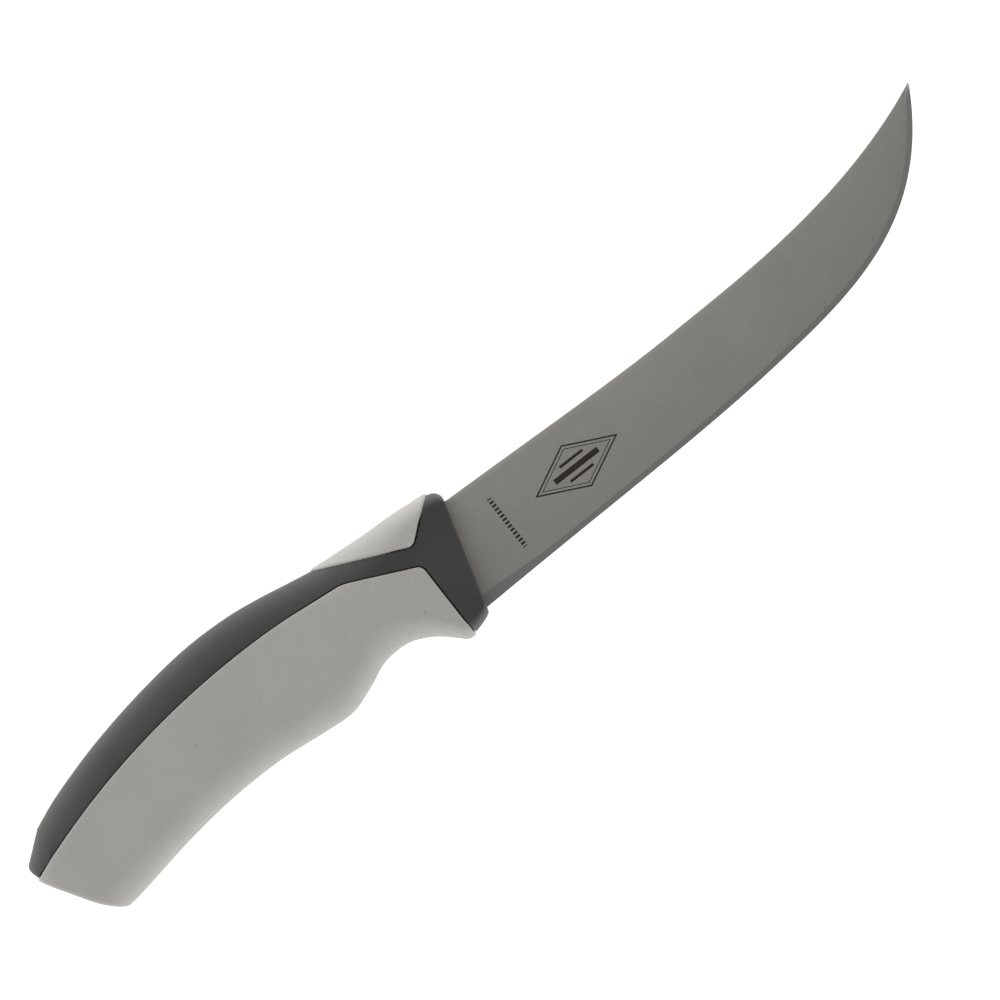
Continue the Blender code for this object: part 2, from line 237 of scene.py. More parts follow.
def tang_rings(front):
    """The tang's sections, drawn on the same number of points as the heel's section."""
    flat = front[:, 1] - front[:, 1].min()
    share = (flat / flat.max())[:, None]
    thick = np.sign(front[:, 2])[:, None] * SPINE_THICK / 2
    rings = []
    for forward, narrowed in (*TANG_CORNER, (TANG_START - TANG_END, 0)):
        low = TANG_LOW + narrowed
        y = low + (TANG_TOP - narrowed - low) * share
        rings.append(np.hstack([np.full_like(y, TANG_END + forward), y, thick]))
    return np.array(rings)


# Satin ground stainless steel: an even, fairly dull grey. Belt grinding leaves faint scratches
# across the blade, drawn coarser than a fine belt's so that they show. The whetted bevel reads
# darker, and the etched mark is a dark brown oxide with no gloss.
STEEL = "#dad7d2"
STEEL_DULL = "#d0cdc8"
WHET = "#adadab"
ETCH = "#5c534b"
ETCH_ROUGHNESS = 0.85
SCRATCH_GAP = 0.1923
SCRATCH_LENGTH = 5.263
SCRATCH_DEPTH = 0.04
STEEL_GRAIN = 0.3846
STEEL_GRAIN_DEPTH = 0.03
STEEL_CLOUD = 22.22
# Painted light: the steel's colour is painted lighter towards the spine and darker towards the
# shoulder, a painted highlight for how light falls across the blade.
SPINE_PAINTED_LIGHT = (0.93, 1.05)

# The etched mark: a lozenge drawn with two lines, which are shares of its size, and three bars in
# it, with a row of ticks nearer the heel. Places and half sizes are in the same millimetres.
LOZENGE_MIDDLE = (33.3, 0.3)
LOZENGE_HALF = (12.2, 6.0)
LOZENGE_LINES = ((0.93, 1.0), (0.80, 0.835))
MIDDLE_BAR = (6.4, 0.7)
SIDE_BAR = (3.4, 0.35)
BAR_SPACING = 2.1
TICKS_MIDDLE = (12.4, -0.2)
TICKS_HALF = (0.6, 7.0)
TICK_SPACING = 1.0
TICK_SHARE = 0.55

# A Mix node has its A and B once for each kind of data, so they are chosen by their numbers.
# A Math node's inputs share one name, so they go by their numbers too.
FACTOR, NUMBER_A, NUMBER_B, COLOUR_A, COLOUR_B = 0, 2, 3, 6, 7
MIXED_NUMBER, MIXED_COLOUR = 0, 2


def distance(tree, place, middle):
    """How far a coordinate stands from a middle, on either side of it."""
    beyond = add(tree, "ShaderNodeMath", {"operation": "SUBTRACT", 1: middle}, {0: place})
    return add(tree, "ShaderNodeMath", {"operation": "ABSOLUTE"}, {0: beyond.outputs[0]}).outputs[0]


def box_mask(tree, x, y, middle, half):
    """1 inside a rectangle on the blade's side, from its middle and half its sizes."""
    masks = []
    for place, home, along, reach in zip((x, y), HOME, middle, half):
        off = distance(tree, place, home + along / 1000)
        within = {"operation": "LESS_THAN", 1: reach / 1000}
        masks.append(add(tree, "ShaderNodeMath", within, {0: off}).outputs[0])
    both = {0: masks[0], 1: masks[1]}
    return add(tree, "ShaderNodeMath", {"operation": "MULTIPLY"}, both).outputs[0]


def etched_mark(tree, place):
    """A plain etched mark: a long lozenge with three bars in it, and a row of ticks at the heel."""
    axes = add(tree, "ShaderNodeSeparateXYZ", {}, {0: place}).outputs
    x, y, z = axes["X"], axes["Y"], axes["Z"]
    dx = distance(tree, x, HOME[0] + LOZENGE_MIDDLE[0] / 1000)
    dy = distance(tree, y, HOME[1] + LOZENGE_MIDDLE[1] / 1000)
    part = add(tree, "ShaderNodeMath", {"operation": "MULTIPLY", 1: 1000 / LOZENGE_HALF[0]}, {0: dx})
    reach = add(
        tree,
        "ShaderNodeMath",
        {"operation": "MULTIPLY_ADD", 1: 1000 / LOZENGE_HALF[1]},
        {0: dy, 2: part.outputs[0]},
    ).outputs[0]
    marks = []
    for low, high in LOZENGE_LINES:
        over = add(tree, "ShaderNodeMath", {"operation": "GREATER_THAN", 1: low}, {0: reach})
        under = add(tree, "ShaderNodeMath", {"operation": "LESS_THAN", 1: high}, {0: reach})
        both = {0: over.outputs[0], 1: under.outputs[0]}
        marks.append(add(tree, "ShaderNodeMath", {"operation": "MULTIPLY"}, both).outputs[0])
    marks.append(box_mask(tree, x, y, LOZENGE_MIDDLE, MIDDLE_BAR))
    for step in (-BAR_SPACING, BAR_SPACING):
        bar_middle = (LOZENGE_MIDDLE[0], LOZENGE_MIDDLE[1] + step)
        marks.append(box_mask(tree, x, y, bar_middle, SIDE_BAR))
    count = add(tree, "ShaderNodeMath", {"operation": "MULTIPLY", 1: 1000 / TICK_SPACING}, {0: y})
    along = add(tree, "ShaderNodeMath", {"operation": "FRACT"}, {0: count.outputs[0]})
    on = add(tree, "ShaderNodeMath", {"operation": "LESS_THAN", 1: TICK_SHARE}, {0: along.outputs[0]})
    both = {0: on.outputs[0], 1: box_mask(tree, x, y, TICKS_MIDDLE, TICKS_HALF)}
    marks.append(add(tree, "ShaderNodeMath", {"operation": "MULTIPLY"}, both).outputs[0])
    total = marks[0]
    for mark in marks[1:]:
        both = {0: total, 1: mark}
        total = add(tree, "ShaderNodeMath", {"operation": "MAXIMUM"}, both).outputs[0]
    upper = add(tree, "ShaderNodeMath", {"operation": "GREATER_THAN", 1: HOME[2]}, {0: z})
    both = {0: total, 1: upper.outputs[0]}
    return add(tree, "ShaderNodeMath", {"operation": "MULTIPLY"}, both).outputs[0]


def ground_steel():
    """Satin ground stainless steel with its whetted bevel and its etched mark."""
    made = bpy.data.materials.new("Satin ground stainless steel")
    made.use_nodes = True
    tree = made.node_tree
    shader = tree.nodes["Principled BSDF"]
    shader.inputs["Metallic"].default_value = 1.0
    place = add(tree, "ShaderNodeTexCoord", {}, {}).outputs["Object"]
    scale = [1000 / size for size in (SCRATCH_GAP, SCRATCH_LENGTH, SCRATCH_LENGTH)]
    across = add(tree, "ShaderNodeMapping", {"Scale": scale}, {"Vector": place})
    scratch = add(
        tree,
        "ShaderNodeTexNoise",
        {"Scale": 1.0, "Detail": 4.0, "Roughness": 0.6},
        {"Vector": across.outputs[0]},
    )
    cloudy = {"Scale": 1000 / STEEL_CLOUD, "Detail": 3.0}
    cloud = add(tree, "ShaderNodeTexNoise", cloudy, {"Vector": place})
    grainy = {"Scale": 1000 / STEEL_GRAIN, "Detail": 2.0}
    grain = add(tree, "ShaderNodeTexNoise", grainy, {"Vector": place})
    both = {0: scratch.outputs[0], 1: grain.outputs[0]}
    mixed = add(tree, "ShaderNodeMath", {"operation": "ADD"}, both)
    spread = {"From Min": 0.72, "From Max": 1.28}
    lined = add(tree, "ShaderNodeMapRange", spread, {"Value": mixed.outputs[0]})
    tone = add(
        tree,
        "ShaderNodeMix",
        {"data_type": "RGBA", COLOUR_A: linear(STEEL_DULL), COLOUR_B: linear(STEEL)},
        {FACTOR: lined.outputs[0]},
    )
    # Painted highlight: the colour is multiplied up towards the spine and down towards the shoulder,
    # standing in for how light falls on the blade.
    high = add(tree, "ShaderNodeAttribute", {"attribute_name": "spineward"}, {})
    painted_lighting = {"To Min": SPINE_PAINTED_LIGHT[0], "To Max": SPINE_PAINTED_LIGHT[1]}
    painted_light_ramp = add(tree, "ShaderNodeMapRange", painted_lighting, {"Value": high.outputs["Fac"]})
    painted_lit_steel = add(
        tree,
        "ShaderNodeMix",
        {"data_type": "RGBA", "blend_type": "MULTIPLY", FACTOR: 1.0},
        {COLOUR_A: tone.outputs[MIXED_COLOUR], COLOUR_B: painted_light_ramp.outputs[0]},
    )
    clouded = add(
        tree,
        "ShaderNodeMix",
        {"data_type": "RGBA", "blend_type": "MULTIPLY", FACTOR: 0.16},
        {COLOUR_A: painted_lit_steel.outputs[MIXED_COLOUR], COLOUR_B: cloud.outputs[0]},
    )
    whet = add(tree, "ShaderNodeAttribute", {"attribute_name": "whetted"}, {})
    beveled = add(
        tree,
        "ShaderNodeMix",
        {"data_type": "RGBA", COLOUR_B: linear(WHET)},
        {FACTOR: whet.outputs["Fac"], COLOUR_A: clouded.outputs[MIXED_COLOUR]},
    )
    mark = etched_mark(tree, place)
    etched = add(
        tree,
        "ShaderNodeMix",
        {"data_type": "RGBA", COLOUR_B: linear(ETCH)},
        {FACTOR: mark, COLOUR_A: beveled.outputs[MIXED_COLOUR]},
    )
    tree.links.new(etched.outputs[MIXED_COLOUR], shader.inputs["Base Color"])
    rough = add(
        tree,
        "ShaderNodeMapRange",
        {"To Min": 0.38, "To Max": 0.46},
        {"Value": scratch.outputs[0]},
    )
    matt = add(
        tree,
        "ShaderNodeMix",
        {"data_type": "FLOAT", NUMBER_B: ETCH_ROUGHNESS},
        {FACTOR: mark, NUMBER_A: rough.outputs[0]},
    )
    tree.links.new(matt.outputs[MIXED_NUMBER], shader.inputs["Roughness"])
    fine = add(
        tree,
        "ShaderNodeBump",
        {"Strength": 0.22, "Distance": SCRATCH_DEPTH / 1000},
        {"Height": scratch.outputs[0]},
    )
    pitted = add(
        tree,
        "ShaderNodeBump",
        {"Strength": 0.12, "Distance": STEEL_GRAIN_DEPTH / 1000},
        {"Height": grain.outputs[0], "Normal": fine.outputs[0]},
    )
    tree.links.new(pitted.outputs[0], shader.inputs["Normal"])
    return made


rings = blade_rings()
ground = SPINE_POINTS + len(SIDE_STOPS) - 1
whetted = [0] * ground + [1] * (1 + len(BEVEL_STOPS))
spineward = [1] * SPINE_POINTS + [1 - along for along in SIDE_STOPS] + [0] * len(BEVEL_STOPS)
bm = sheet(
    np.vstack([tang_rings(rings[0]), rings]),
    whetted=[*whetted, *whetted[::-1], 0],
    spineward=[*spineward, *spineward[::-1], 1],
)
bmesh.ops.remove_doubles(bm, verts=bm.verts, dist=SAME_PLACE)
bmesh.ops.holes_fill(bm, edges=[side for side in bm.edges if side.is_boundary], sides=0)
bmesh.ops.recalc_face_normals(bm, faces=bm.faces)
blade = piece_of("ground_blade", bm, ground_steel())
blade.data.set_sharp_from_angle(angle=math.radians(SHARP_STEEL))
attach(blade, "root")
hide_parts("blade")


# The core: the handle's hard body, injection moulded in dark grey polypropylene round the tang.
# It shows as the collar, the band between the panels, the back and the top of the butt, and lies
# half a millimetre lower than the panels. Its two recesses take them, with a fine seam round each.
PALM_WIDTH = 23.0
COLLAR_WIDTH = 16.0
FLARE = 24.0
PALM_ROUND = 9.4
COLLAR_ROUND = 3.4
COLLAR_EDGE = 0.5
COLLAR_DEPTH = 2.0
COLLAR_TOP = 2.4
COLLAR_LOW = 0.5
BUTT_EDGE = 1.6
BUTT_CORNER = 3.4
PANEL_STEP = 0.5
RECESS = 2.0
SEAM_GAP = 0.28

# How finely the skin is drawn, the limits of its roundings as shares of it, and where its plain
# rings start and stop inside the collar and the butt.
RIB_STEPS = 60
RING_SPACING = 0.6
RING_POINTS = 240
ARC_POINTS = 60
COLLAR_POINTS = 9
BUTT_POINTS = 11
ROUND_LIMIT = 0.45
ROUND_LEAST = 0.4
INNER_START = 2.1
INNER_END = 2.4
SHARP_PLASTIC = 40

# The panels' edges as seen from the side: the seam by the guard, the band between the panels, the
# thumb panel's corners, the belly panel's long curve, and the roundings where they turn.
SEAM = -9.3
BAND_WIDTH = 4.9
BAND_BEND = -26.6
THUMB_CORNER = (-8.1, 8.9)
THUMB_FRONT = (1.6, 17.1)
THUMB_BACK = (-30.4, 19.4)
BELLY_CURVE = ((-63, 17.2), (-98, 12.2), (-130, -0.9))
BELLY_POINTS = 61
BEND_END = 8
BELOW_ALL = -40.0
CORNER_RADIUS = 2.2
BEND_RADIUS = 10.0
CORNER_POINTS = 16
THUMB_PAST_BACK = 0.4
THUMB_PAST_FRONT = 0.6

# A point of the skin is drawn onto a seam that is nearer than this share of the way to the next.
DRAWN_SHARE = 0.5


def evenly(path, spacing=None, count=None):
    """Points at equal steps along a path of places."""
    length = np.concatenate([[0], np.cumsum(np.linalg.norm(np.diff(path, axis=0), axis=1))])
    count = count or max(2, round(length[-1] / spacing) + 1)
    stops = np.linspace(0, length[-1], count)
    return np.column_stack([np.interp(stops, length, column) for column in path.T])


def fine_ribs():
    """Ribs on a smooth curve through all of RIBS, as rows of lower x, lower y, upper x, upper y."""
    keys = np.array([(*lower, *upper) for lower, upper in RIBS])
    keys = np.vstack([2 * keys[0] - keys[1], keys, 2 * keys[-1] - keys[-2]])
    rows = []
    for a, b, c, d in zip(keys, keys[1:], keys[2:], keys[3:]):
        for t in np.arange(RIB_STEPS) / RIB_STEPS:
            bend = t**2 * (a - 2.5 * b + 2 * c - 0.5 * d) + 0.5 * t**3 * (3 * b - a - 3 * c + d)
            rows.append(b + 0.5 * t * (c - a) + bend)
    rows.append(keys[-2])
    return np.array(rows)


def flare_at(middle):
    """The handle's half width and the height of its rounding, which both grow behind the collar."""
    grown = np.clip(-middle / FLARE, 0, 1)
    grown = grown**2 * (3 - 2 * grown)
    half = (COLLAR_WIDTH + (PALM_WIDTH - COLLAR_WIDTH) * grown) / 2
    return half, COLLAR_ROUND + (PALM_ROUND - COLLAR_ROUND) * grown


def half_section(rib, depth, end=(0, 0, 0), forward=0.0):
    """One side of the handle's section at a depth, from its back down to its underside. Its end
    insets it further at the top, bottom and side, and it may stand forward of its rib."""
    lower, upper = rib[:2], rib[2:]
    height = np.linalg.norm(upper - lower)
    up = (upper - lower) / height
    ahead = np.array([up[1], -up[0]])
    half, cap = flare_at((rib[0] + rib[2]) / 2)
    cap = min(cap, ROUND_LIMIT * height)
    cap_top = max(cap - depth - end[0], ROUND_LEAST * cap)
    cap_low = max(cap - depth - end[1], ROUND_LEAST * cap)
    half = half - depth - end[2]
    top, bottom = height - depth - end[0], depth + end[1]
    turn = np.linspace(0, math.pi / 2, ARC_POINTS)
    z = np.concatenate([half * np.sin(turn), half * np.cos(turn)])
    v = np.concatenate(
        [top - cap_top * (1 - np.cos(turn)), bottom + cap_low * (1 - np.sin(turn))]
    )
    xy = lower + v[:, None] * up + ahead * forward
    return np.column_stack([xy, z])


def ahead_of(rib, other):
    """How far one rib's nearer end stands in front of another rib's plane."""
    up = rib[2:] - rib[:2]
    ahead = np.array([up[1], -up[0]]) / np.linalg.norm(up)
    return min((rib[:2] - other[:2]) @ ahead, (rib[2:] - other[2:]) @ ahead, key=abs)


def butt_turns():
    """The roundings of the butt, as further insets at the top, bottom and side, and a depth."""
    for angle in np.linspace(0, math.pi / 2, BUTT_POINTS):
        share = 1 - math.cos(angle)
        end = (BUTT_EDGE * share, BUTT_CORNER * share, BUTT_EDGE * share)
        yield end, BUTT_EDGE * math.sin(angle)


def whole_skin(depth):
    """Closed rings over the whole handle at a depth below its outside, collar first."""
    ribs = fine_ribs()
    inner = [rib for rib in ribs if ahead_of(ribs[0], rib) > INNER_START]
    back_step = (inner[0] - ribs[0]) / ahead_of(ribs[0], inner[0])
    halves = []
    for angle in np.linspace(math.pi / 2, 0, COLLAR_POINTS):
        share = 1 - math.cos(angle)
        end = (COLLAR_TOP * share, COLLAR_LOW * share, COLLAR_EDGE * share)
        step = COLLAR_DEPTH * (1 - math.sin(angle))
        halves.append(half_section(ribs[0] + back_step * step, depth, end))
    along = evenly(np.array(inner), spacing=RING_SPACING)
    for rib in along:
        if -ahead_of(ribs[-1], rib) > INNER_END:
            halves.append(half_section(rib, depth))
    for end, back in butt_turns():
        halves.append(half_section(ribs[-1], depth, end, depth - back))
    rings = []
    for half in halves:
        side = evenly(half, count=RING_POINTS // 2 + 1)
        rings.append(np.vstack([side, side[-2::-1] * (1, 1, -1)]))
    return np.array(rings)


def rounded(corners, radii):
    """An open outline whose inner corners are rounded to the given radii."""
    corners = [np.array(corner, float) for corner in corners]
    points = [corners[0]]
    for before, corner, after, radius in zip(corners, corners[1:], corners[2:], radii):
        one = (before - corner) / np.linalg.norm(before - corner)
        two = (after - corner) / np.linalg.norm(after - corner)
        reach = radius / math.tan(0.5 * math.acos(float(one @ two)))
        for t in np.linspace(0, 1, CORNER_POINTS):
            bend = (1 - t) ** 2 * (corner + one * reach) + t**2 * (corner + two * reach)
            points.append(bend + 2 * t * (1 - t) * corner)
    points.append(corners[-1])
    return np.array(points)


def belly_outline():
    """The belly panel's edge on the side: up its front, round its corner and back to the butt."""
    back, corner = np.array(THUMB_BACK), np.array(THUMB_CORNER)
    run = (back - corner) / np.linalg.norm(back - corner)
    beside = corner + BAND_WIDTH * np.array([-run[1], run[0]])
    slope = run[1] / run[0]
    turn = np.array([SEAM, beside[1] + (SEAM - beside[0]) * slope])
    knee = np.array([BAND_BEND, beside[1] + (BAND_BEND - beside[0]) * slope])
    rear = curve((knee, *BELLY_CURVE), BELLY_POINTS)
    front = rounded([(SEAM, BELOW_ALL), turn, knee, rear[BEND_END]], (CORNER_RADIUS, BEND_RADIUS))
    return np.vstack([front, rear[BEND_END + 1 :]])


def thumb_outline():
    """The thumb panel's edge on the side: from behind its point, round its corner and up."""
    back, corner, front = (np.array(p) for p in (THUMB_BACK, THUMB_CORNER, THUMB_FRONT))
    start = back + THUMB_PAST_BACK * (back - corner)
    end = front + THUMB_PAST_FRONT * (front - corner)
    return rounded([start, corner, end], (CORNER_RADIUS,))


def inside(places, outline):
    """How far places lie inside an outline that has its panel on its left."""
    starts, runs = outline[:-1], np.diff(outline, axis=0)
    runs = runs / np.linalg.norm(runs, axis=1)[:, None]
    depth = np.full(places.shape[:-1], np.inf)
    for start, run in zip(starts, runs):
        away = places[..., :2] - start
        depth = np.minimum(depth, run[0] * away[..., 1] - run[1] * away[..., 0])
    return depth


def recessed_core():
    """The core's rings. Points near a seam are drawn onto it, and those inside it are sunk."""
    skin, bed = whole_skin(PANEL_STEP)[:, :-1], whole_skin(RECESS)[:, :-1]
    depth = np.maximum(inside(skin, belly_outline()), inside(skin, thumb_outline())) + SEAM_GAP
    drawn, nearest = skin.copy(), np.full(depth.shape, DRAWN_SHARE)
    for axis, step in ((0, 1), (0, -1), (1, 1), (1, -1)):
        beyond, place = np.roll(depth, -step, axis), np.roll(skin, -step, axis)
        share = depth / np.where(depth == beyond, np.inf, depth - beyond)
        near = (depth * beyond < 0) & (share < nearest)
        if axis == 0:
            near[0] = near[-1] = False
        drawn[near] = skin[near] + share[near][:, None] * (place - skin)[near]
        nearest[near] = share[near]
    sunk = (depth > 0) & (nearest == DRAWN_SHARE)
    drawn[sunk] = bed[sunk]
    return np.concatenate([drawn, drawn[:, :1]], axis=1)


# Dark grey polypropylene, moulded in a fine spark textured tool: a faint even grain with a soft
# satin sheen, drawn three times as coarse as the real tenth of a millimetre so that it shows.
# It has slight cloudiness, and dust and rubbing pale it a little.
CORE_GREY = "#474847"
CORE_PALE = "#515250"
CORE_GRAIN = 0.3125
CORE_GRAIN_DEPTH = 0.07
CORE_CLOUD = 16.667


def hard_plastic():
    """Dark grey moulded polypropylene."""
    made = bpy.data.materials.new("Dark grey moulded polypropylene")
    made.use_nodes = True
    tree = made.node_tree
    shader = tree.nodes["Principled BSDF"]
    shader.inputs["IOR"].default_value = 1.49
    place = add(tree, "ShaderNodeTexCoord", {}, {}).outputs["Object"]
    grainy = {"Scale": 1000 / CORE_GRAIN, "Detail": 2.0}
    grain = add(tree, "ShaderNodeTexNoise", grainy, {"Vector": place})
    cloudy = {"Scale": 1000 / CORE_CLOUD, "Detail": 5.0, "Roughness": 0.6}
    cloud = add(tree, "ShaderNodeTexNoise", cloudy, {"Vector": place})
    paling = {"From Min": 0.42, "From Max": 0.75}
    paled = add(tree, "ShaderNodeMapRange", paling, {"Value": cloud.outputs[0]})
    tone = add(
        tree,
        "ShaderNodeMix",
        {"data_type": "RGBA", COLOUR_A: linear(CORE_GREY), COLOUR_B: linear(CORE_PALE)},
        {FACTOR: paled.outputs[0]},
    )
    shading = {"From Min": 0.3, "From Max": 0.7, "To Min": 0.86, "To Max": 1.12}
    shade = add(tree, "ShaderNodeMapRange", shading, {"Value": grain.outputs[0]})
    grained = add(
        tree,
        "ShaderNodeMix",
        {"data_type": "RGBA", "blend_type": "MULTIPLY", FACTOR: 1.0},
        {COLOUR_A: tone.outputs[MIXED_COLOUR], COLOUR_B: shade.outputs[0]},
    )
    tree.links.new(grained.outputs[MIXED_COLOUR], shader.inputs["Base Color"])
    rough = add(
        tree, "ShaderNodeMapRange", {"To Min": 0.46, "To Max": 0.60}, {"Value": cloud.outputs[0]}
    )
    tree.links.new(rough.outputs[0], shader.inputs["Roughness"])
    bump = add(
        tree,
        "ShaderNodeBump",
        {"Strength": 0.5, "Distance": CORE_GRAIN_DEPTH / 1000},
        {"Height": grain.outputs[0]},
    )
    tree.links.new(bump.outputs[0], shader.inputs["Normal"])
    return made


bm = sheet(recessed_core())
bmesh.ops.remove_doubles(bm, verts=bm.verts, dist=SAME_PLACE)
bmesh.ops.holes_fill(bm, edges=[side for side in bm.edges if side.is_boundary], sides=0)
bmesh.ops.recalc_face_normals(bm, faces=bm.faces)
core = piece_of("handle_core", bm, hard_plastic())
core.data.set_sharp_from_angle(angle=math.radians(SHARP_PLASTIC))
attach(core, "root")
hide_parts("core")


# The belly grip: a soft off-white elastomer panel, moulded over the core's underside from the
# finger guard to the butt and round its end. Its edge is rolled over down into the seam.
SKIN_THICK = 0.3
ROLLED_EDGE = 0.40
EDGE_WALL = 0.6

# How the way out to a panel's outline is found: the step that is tried, the least that a step may
# count for, and the furthest that an edge is drawn.
ROLL_PROBE = 0.05
LEAST_RATE = 0.3
REACH_LIMIT = 1.2

# How finely the panels are drawn, and the stretch in which their rows bend to the front edge.
ROLL_STEPS = 4
ROW_SPACING = 0.42
FINE_SPACING = 0.02
PATH_POINTS = 200
BOW_RUN = 8.0
CORNER_MIDDLE = CORNER_POINTS // 2
BELLY_HALF = 56
END_ROWS = 21
BEND_PLACE = (BAND_BEND, 12.0)
FRONT_RIBS = 200
ribs = fine_ribs()


def station(points):
    """Where points fall among the ribs, counted from the collar."""
    lower, up = ribs[:, :2], ribs[:, 2:] - ribs[:, :2]
    away = points[:, None] - lower
    side = up[:, 0] * away[..., 1] - up[:, 1] * away[..., 0]
    last = np.clip((side > 0).sum(axis=1), 1, len(ribs) - 1)
    rows = np.arange(len(points))
    before, after = side[rows, last - 1], side[rows, last]
    return last - 1 + np.clip(before / (before - after), 0, 1)


def rib_at(places):
    """The ribs at places between them."""
    return np.column_stack([np.interp(places, np.arange(len(ribs)), end) for end in ribs.T])


def on_skin(points):
    """Points on the side's drawing lifted to the handle's outside."""
    rib = rib_at(station(points))
    lower, up = rib[:, :2], rib[:, 2:] - rib[:, :2]
    height = np.linalg.norm(up, axis=1)
    v = ((points - lower) * up).sum(axis=1) / height
    half, cap = flare_at((rib[:, 0] + rib[:, 2]) / 2)
    cap = np.minimum(cap, ROUND_LIMIT * height)
    turned = np.clip(1 - np.minimum(v, height - v) / cap, 0, 1)
    return np.column_stack([points, half * np.sqrt(1 - turned**2)])


def drawn_in(outline):
    """An outline drawn into its panel by the width of the rolled edge."""
    runs = np.diff(outline, axis=0)
    runs /= np.linalg.norm(runs, axis=1)[:, None]
    inward = np.column_stack([-runs[:, 1], runs[:, 0]])
    before, after = np.vstack([inward[:1], inward]), np.vstack([inward, inward[-1:]])
    return outline + ROLLED_EDGE * (before + after) / (1 + (before * after).sum(axis=1))[:, None]


def bows(front, count):
    """How far each row leaves a straight line, so that the last one follows the front edge."""
    path = evenly(front, count=PATH_POINTS)
    bow = path - (path[0] + (path[-1] - path[0]) * np.linspace(0, 1, PATH_POINTS)[:, None])
    away = np.arange(count)[::-1] * ROW_SPACING
    return [bow * max(1 - distance / BOW_RUN, 0) ** 2 for distance in away]


def row_round(start, end, half, bow):
    """A row from a panel's edge round to the middle line at end, and on to the far side's edge."""
    share = np.sin(np.linspace(0, math.pi / 2, PATH_POINTS))
    stops = np.linspace(0, 1, PATH_POINTS)
    bent = np.column_stack([np.interp(share, stops, side) for side in bow.T])
    path = on_skin(start + (end - start) * share[:, None] + bent)
    path[-1, 2] = 0
    side = evenly(path, count=half + 1)
    return np.vstack([side, side[-2::-1] * (1, 1, -1)])


def belly_rows():
    """Rows of places round the underside, from the middle of the butt's end to the guard."""
    outline = drawn_in(belly_outline())
    ends = []
    for end, back in butt_turns():
        half = half_section(ribs[-1], 0, end, -back)
        depth = inside(half, outline)
        first = int(np.argmax(depth > 0))
        share = depth[first] / (depth[first] - depth[first - 1])
        top = half[first] + share * (half[first - 1] - half[first])
        side = evenly(np.vstack([top, half[first:]]), count=BELLY_HALF + 1)
        ends.append(np.vstack([side, side[-2::-1] * (1, 1, -1)]))
    rows = [ends[-1] * (1, 1, share) for share in np.linspace(0, 1, END_ROWS + 1)[:-1]]
    rows += ends[:0:-1]
    edge_line = evenly(outline[CORNER_MIDDLE:], spacing=FINE_SPACING)[::-1]
    edge_line = edge_line[station(edge_line) < len(ribs) - 1]
    tops = evenly(edge_line, spacing=ROW_SPACING)
    places = station(tops)
    bend = float(station(np.array([BEND_PLACE]))[0])
    foot = float(np.interp(-outline[0, 0], -ribs[:FRONT_RIBS, 0], np.arange(FRONT_RIBS)))
    spread = bend + (places - bend) * (foot - bend) / (places[-1] - bend)
    lows = np.where(places > bend, places, spread)
    keel = rib_at(np.array([foot]))[0, :2]
    front = np.vstack([outline[CORNER_MIDDLE:0:-1], keel])
    for top, low, bow in zip(tops, rib_at(lows), bows(front, len(tops))):
        rows.append(row_round(top, low[:2], BELLY_HALF, bow))
    return np.array(rows)


# Off-white thermoplastic elastomer, moulded: a dead matt skin that reads very slightly warm. Its
# fine tool grain is drawn two to three times as coarse as a real one so that it shows. It picks up
# small dark specks and faint grey rubs in use.
GRIP_WHITE = "#cfcecb"
GRIP_WORN = "#cac9c5"
GRIP_SPECK = "#8b877c"
GRIP_GRAIN = 0.4348
GRIP_GRAIN_DEPTH = 0.1
GRIP_CLOUD = 14.286
RUB_SIZES = (16.667, 1.111, 3.333)
RUB_TURN = -24
SPECK_SPACING = 3.0303
SPECK_EDGE = (0.05, 0.09)
SPECK_RARITY = 0.93


